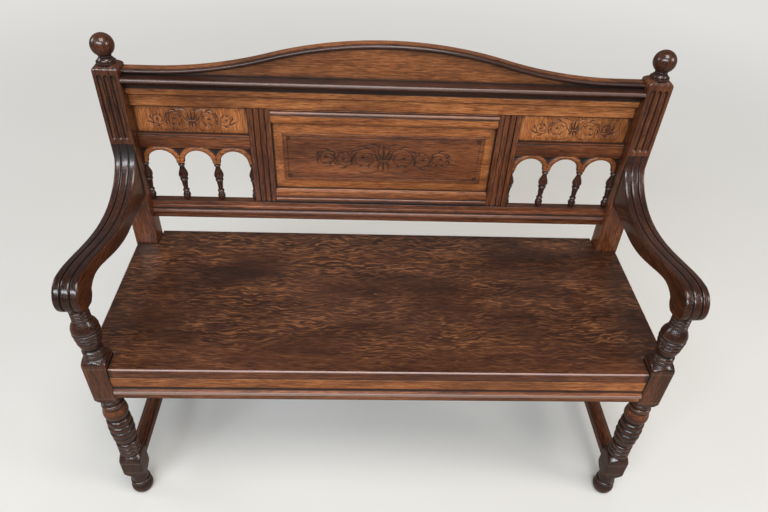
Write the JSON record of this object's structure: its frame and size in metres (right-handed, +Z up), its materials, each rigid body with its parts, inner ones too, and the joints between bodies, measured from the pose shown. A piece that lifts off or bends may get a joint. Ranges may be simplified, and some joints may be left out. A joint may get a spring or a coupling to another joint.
{
  "type": "hall bench",
  "caption": "Oak hall bench with turned front legs, scrolled arms, a panelled back with small arcades and a curved crest.",
  "frame": {"origin": "on the floor, under the middle of the whole bench", "axes": "+X to the sitter's left along the seat, +Y to the back, +Z up"},
  "size_m": [1.196, 0.4646, 0.9705],
  "materials": {
    "dark_oak": "polished dark stain",
    "golden_oak": "polished, worn to a golden brown",
    "seat_oak": "polished quarter-sawn boards",
    "plain_oak": "bare, planed",
    "steel": "plain wood screw"
  },
  "bodies": {
    "root": {"arcade_board_left": "golden_oak", "arcade_board_right": "golden_oak", "arm_left": "dark_oak", "arm_right": "dark_oak", "arm_screw_left": "steel", "arm_screw_pellet_left": "dark_oak", "arm_screw_pellet_right": "dark_oak", "arm_screw_right": "steel", "back_bottom_rail": "dark_oak", "back_post_left": "dark_oak", "back_post_right": "dark_oak", "back_top_rail": "golden_oak", "ball_finial_left": "dark_oak", "ball_finial_right": "dark_oak", "centre_moulding_bottom": "golden_oak", "centre_moulding_top": "golden_oak", "centre_panel": "golden_oak", "corner_block_front_left": "plain_oak", "corner_block_front_right": "plain_oak", "corner_block_rear_left": "plain_oak", "corner_block_rear_right": "plain_oak", "cornice_moulding": "golden_oak", "crest_board": "dark_oak", "crest_dowel_1": "plain_oak", "crest_dowel_2": "plain_oak", "crest_dowel_3": "plain_oak", "crest_dowel_4": "plain_oak", "front_leg_left": "dark_oak", "front_leg_right": "dark_oak", "front_seat_rail": "golden_oak", "half_spindle_left_inner": "dark_oak", "half_spindle_left_outer": "dark_oak", "half_spindle_right_inner": "dark_oak", "half_spindle_right_outer": "dark_oak", "mid_rail_left": "golden_oak", "mid_rail_right": "golden_oak", "muntin_left": "golden_oak", "muntin_right": "golden_oak", "rear_seat_rail": "dark_oak", "seat_bearer_left": "plain_oak", "seat_bearer_right": "plain_oak", "seat_board_front": "seat_oak", "seat_board_rear": "seat_oak", "seat_screw_left_1": "steel", "seat_screw_left_2": "steel", "seat_screw_right_1": "steel", "seat_screw_right_2": "steel", "side_panel_left": "golden_oak", "side_panel_right": "golden_oak", "side_seat_rail_left": "dark_oak", "side_seat_rail_right": "dark_oak", "side_stretcher_left": "dark_oak", "side_stretcher_right": "dark_oak", "spindle_left_1": "dark_oak", "spindle_left_2": "dark_oak", "spindle_right_1": "dark_oak", "spindle_right_2": "dark_oak"}
  },
  "joints": []
}
